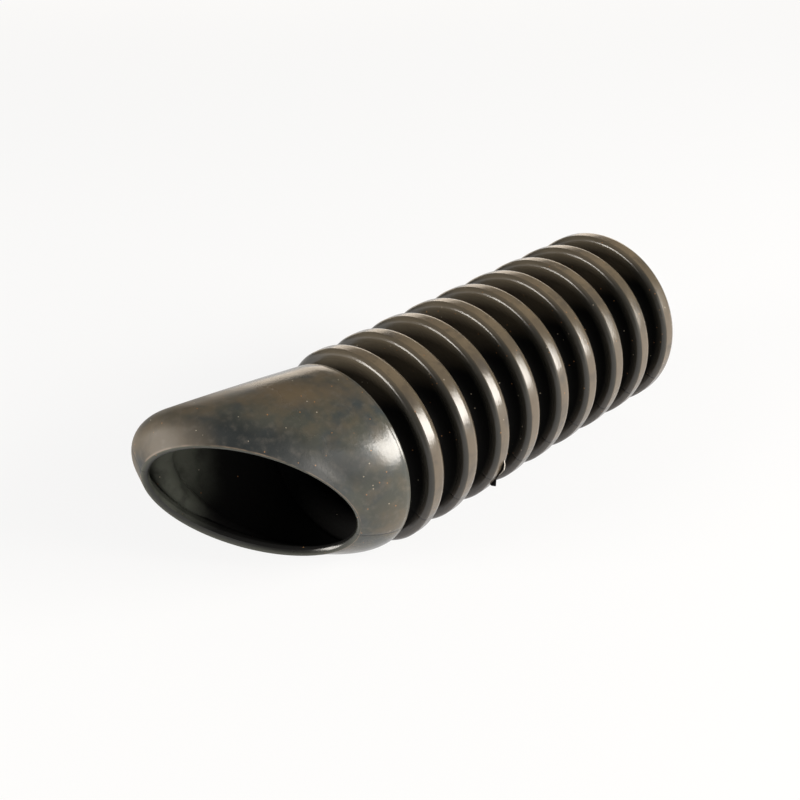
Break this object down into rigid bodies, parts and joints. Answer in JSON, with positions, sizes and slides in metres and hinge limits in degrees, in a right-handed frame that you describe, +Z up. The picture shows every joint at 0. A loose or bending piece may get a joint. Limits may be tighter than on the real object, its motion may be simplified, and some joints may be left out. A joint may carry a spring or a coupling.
{
  "type": "intake sleeve",
  "caption": "Flexible black rubber intake sleeve: a ringed bellows hose with a slanted, hooded mouth at one end and a plain bore for a pipe at the other.",
  "frame": {"origin": "on the surface the sleeve lies on, under the middle of its length and width", "axes": "+X along the hose from the hooded mouth to the pipe end, +Z up, the hood leaning up and towards +Y"},
  "size_m": [0.2262, 0.078, 0.0747],
  "materials": {
    "rubber": "smooth moulded rubber with a soft sheen, dusty and a little browned"
  },
  "bodies": {
    "root": {"sleeve": "rubber"}
  },
  "joints": []
}
